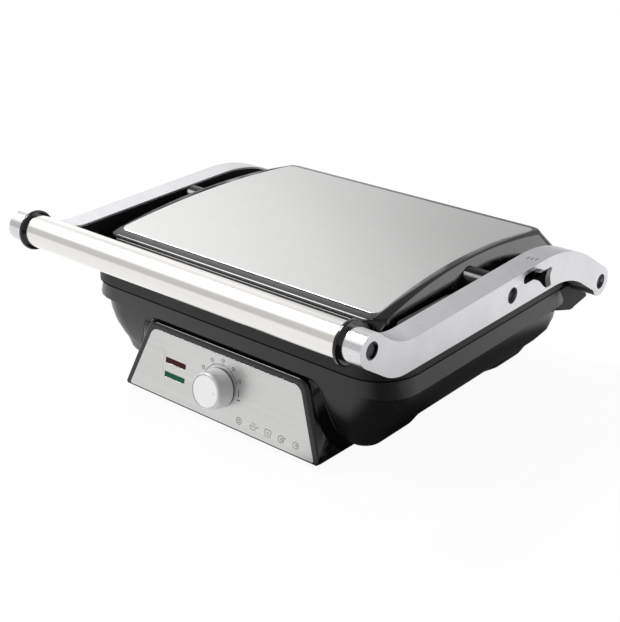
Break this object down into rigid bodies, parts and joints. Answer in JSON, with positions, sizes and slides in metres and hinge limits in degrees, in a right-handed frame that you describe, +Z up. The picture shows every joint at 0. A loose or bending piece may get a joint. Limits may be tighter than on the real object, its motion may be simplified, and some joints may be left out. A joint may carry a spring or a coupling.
{
  "type": "electric contact grill",
  "caption": "Electric contact grill with a floating ribbed upper plate in a steel-topped lid, cast arms with a tubular handle, and a black housing with a front control panel",
  "frame": {"origin": "the point on the counter midway between the four feet", "axes": "+X is to the grill's right as the cook faces its control panel, +Y points to its rear where the hinge is, +Z is up"},
  "size_m": [0.3974, 0.3764, 0.1644],
  "materials": {
    "housing_plastic": "smooth satin black moulding",
    "rim_plastic": "fine grained black moulding",
    "coated_cast": "dark non-stick coating on cast aluminium",
    "element_sheath": "heat-tinted sheath",
    "shield_sheet": "mill finish sheet",
    "gloss_black": "glossy black moulding",
    "fascia_steel": "brushed along its length",
    "red_lens": "translucent red",
    "green_lens": "translucent green",
    "lamp_glass": "clear bulb",
    "ceramic": "plain ceramic",
    "screw_steel": "zinc-plated",
    "dark_screw": "blackened",
    "knob_silver": "satin silver",
    "knob_cap_silver": "satin silver",
    "bracket_plastic": "black moulding",
    "rubber": "matt black",
    "cast_aluminium": "satin cast and polished at its boss",
    "handle_steel": "bright brushed along its length",
    "nylon": "natural nylon",
    "lever_plastic": "black moulding",
    "panel_steel": "fine brushed"
  },
  "bodies": {
    "base": {"base_housing": "housing_plastic", "base_rim": "rim_plastic", "lower_grill_plate": "coated_cast", "lower_heating_element": "element_sheath", "lower_heat_shield": "shield_sheet", "control_box": "gloss_black", "fascia_plate": "fascia_steel", "red_lens": "red_lens", "green_lens": "green_lens", "indicator_lamps": "lamp_glass", "thermostat_body": "ceramic", "left_hinge_bracket": "bracket_plastic", "right_hinge_bracket": "bracket_plastic", "hinge_screws": "screw_steel", "bracket_screws": "screw_steel", "rubber_feet": "rubber", "housing_screws": "screw_steel", "cord_gland": "bracket_plastic", "plate_screws": "screw_steel"},
    "arms": {"left_arm": "cast_aluminium", "right_arm": "cast_aluminium", "left_arm_cover": "bracket_plastic", "right_arm_cover": "bracket_plastic", "arm_cover_screws": "screw_steel", "handle_tube": "handle_steel", "handle_rings": "gloss_black", "handle_plugs": "shield_sheet", "handle_screws": "dark_screw", "hinge_bushes": "nylon", "lid_pivot_screws": "dark_screw"},
    "lever": {"lock_lever": "lever_plastic"},
    "lid": {"lid_cover": "gloss_black", "lid_panel": "panel_steel", "lid_frame": "rim_plastic", "left_lid_lug": "gloss_black", "right_lid_lug": "gloss_black", "upper_grill_plate": "coated_cast", "upper_heating_element": "element_sheath", "upper_heat_shield": "shield_sheet", "lid_screws": "screw_steel"},
    "knob": {"control_knob": "knob_silver", "knob_cap": "knob_cap_silver", "thermostat_shaft": "screw_steel"}
  },
  "joints": [
    {"name": "arm_hinge", "type": "hinge", "parent": "base", "child": "arms", "pos_m": [0, 0.139, 0.0893], "axis": [-1, 0, 0], "range_deg": [0, 180]},
    {"name": "lid_tilt", "type": "hinge", "parent": "arms", "child": "lid", "pos_m": [0, -0.0152, 0.1269], "axis": [1, 0, 0], "range_deg": [-1, 1]},
    {"name": "lever_slide", "type": "slide", "parent": "arms", "child": "lever", "axis": [0, -1, 0], "range_m": [0, 0.0138]},
    {"name": "knob_turn", "type": "hinge", "parent": "base", "child": "knob", "pos_m": [0, -0.15603, 0.0347], "axis": [0, -0.9833, 0.1822], "range_deg": [0, 150]}
  ]
}
